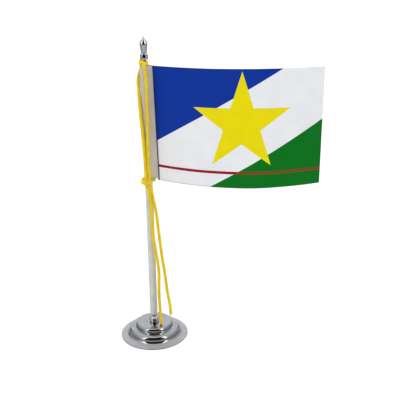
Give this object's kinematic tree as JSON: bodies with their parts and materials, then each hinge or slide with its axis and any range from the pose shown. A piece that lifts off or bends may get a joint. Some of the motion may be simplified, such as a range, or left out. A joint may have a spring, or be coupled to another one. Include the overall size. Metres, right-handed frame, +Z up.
{
  "type": "desk flag stand",
  "caption": "Desk flag stand: stepped chrome base, thin pole with a spear finial, a cloth flag on a pole sleeve that turns round the pole, and a tied cord.",
  "frame": {"origin": "pole axis at the face that the base rests on", "axes": "+Z up along the pole, +X from the pole along the flag, -Y towards the side that the flag bows to"},
  "size_m": [0.1812, 0.0632, 0.2796],
  "materials": {
    "chrome_base": "polished plating with fine wipe marks",
    "chrome_trim": "bright turned plating",
    "chrome_pole": "drawn tube, satin plating",
    "ballast_iron": "as cast",
    "pad_foam": "fine closed-cell foam",
    "screw_steel": "zinc plated",
    "insert_brass": "turned",
    "flag_print": "satin polyester, printed in blue, white, green and yellow",
    "sleeve_cloth": "plain white woven polyester",
    "thread": "dark grey sewing thread",
    "cord_yarn": "twisted shiny yarn"
  },
  "bodies": {
    "base": {"base_shell": "chrome_base", "ballast_weight": "ballast_iron", "base_pad": "pad_foam", "fixing_screw": "screw_steel", "spring_washer": "screw_steel", "plain_washer": "screw_steel"},
    "pole": {"pole_collar": "chrome_trim", "pole_tube": "chrome_pole", "foot_insert": "insert_brass", "top_insert": "insert_brass"},
    "finial": {"finial_stud": "screw_steel", "finial": "chrome_trim"},
    "flag": {"flag_cloth": "flag_print", "pole_sleeve": "sleeve_cloth", "sleeve_stitching": "thread", "cord_top_hitch": "cord_yarn", "cord_front_strand": "cord_yarn", "cord_left_strand": "cord_yarn", "cord_lower_turn": "cord_yarn", "cord_knot": "cord_yarn", "cord_long_tail": "cord_yarn", "cord_short_tail": "cord_yarn"}
  },
  "joints": [
    {"name": "pole_lift", "type": "slide", "parent": "base", "child": "pole", "axis": [0, 0, 1], "range_m": [0, 0.05]},
    {"name": "finial_lift", "type": "slide", "parent": "pole", "child": "finial", "axis": [0, 0, 1], "range_m": [0, 0.04]},
    {"name": "flag_swing", "type": "hinge", "parent": "pole", "child": "flag", "pos_m": [0, 0, 0.2], "axis": [0, 0, 1], "continuous": true}
  ]
}
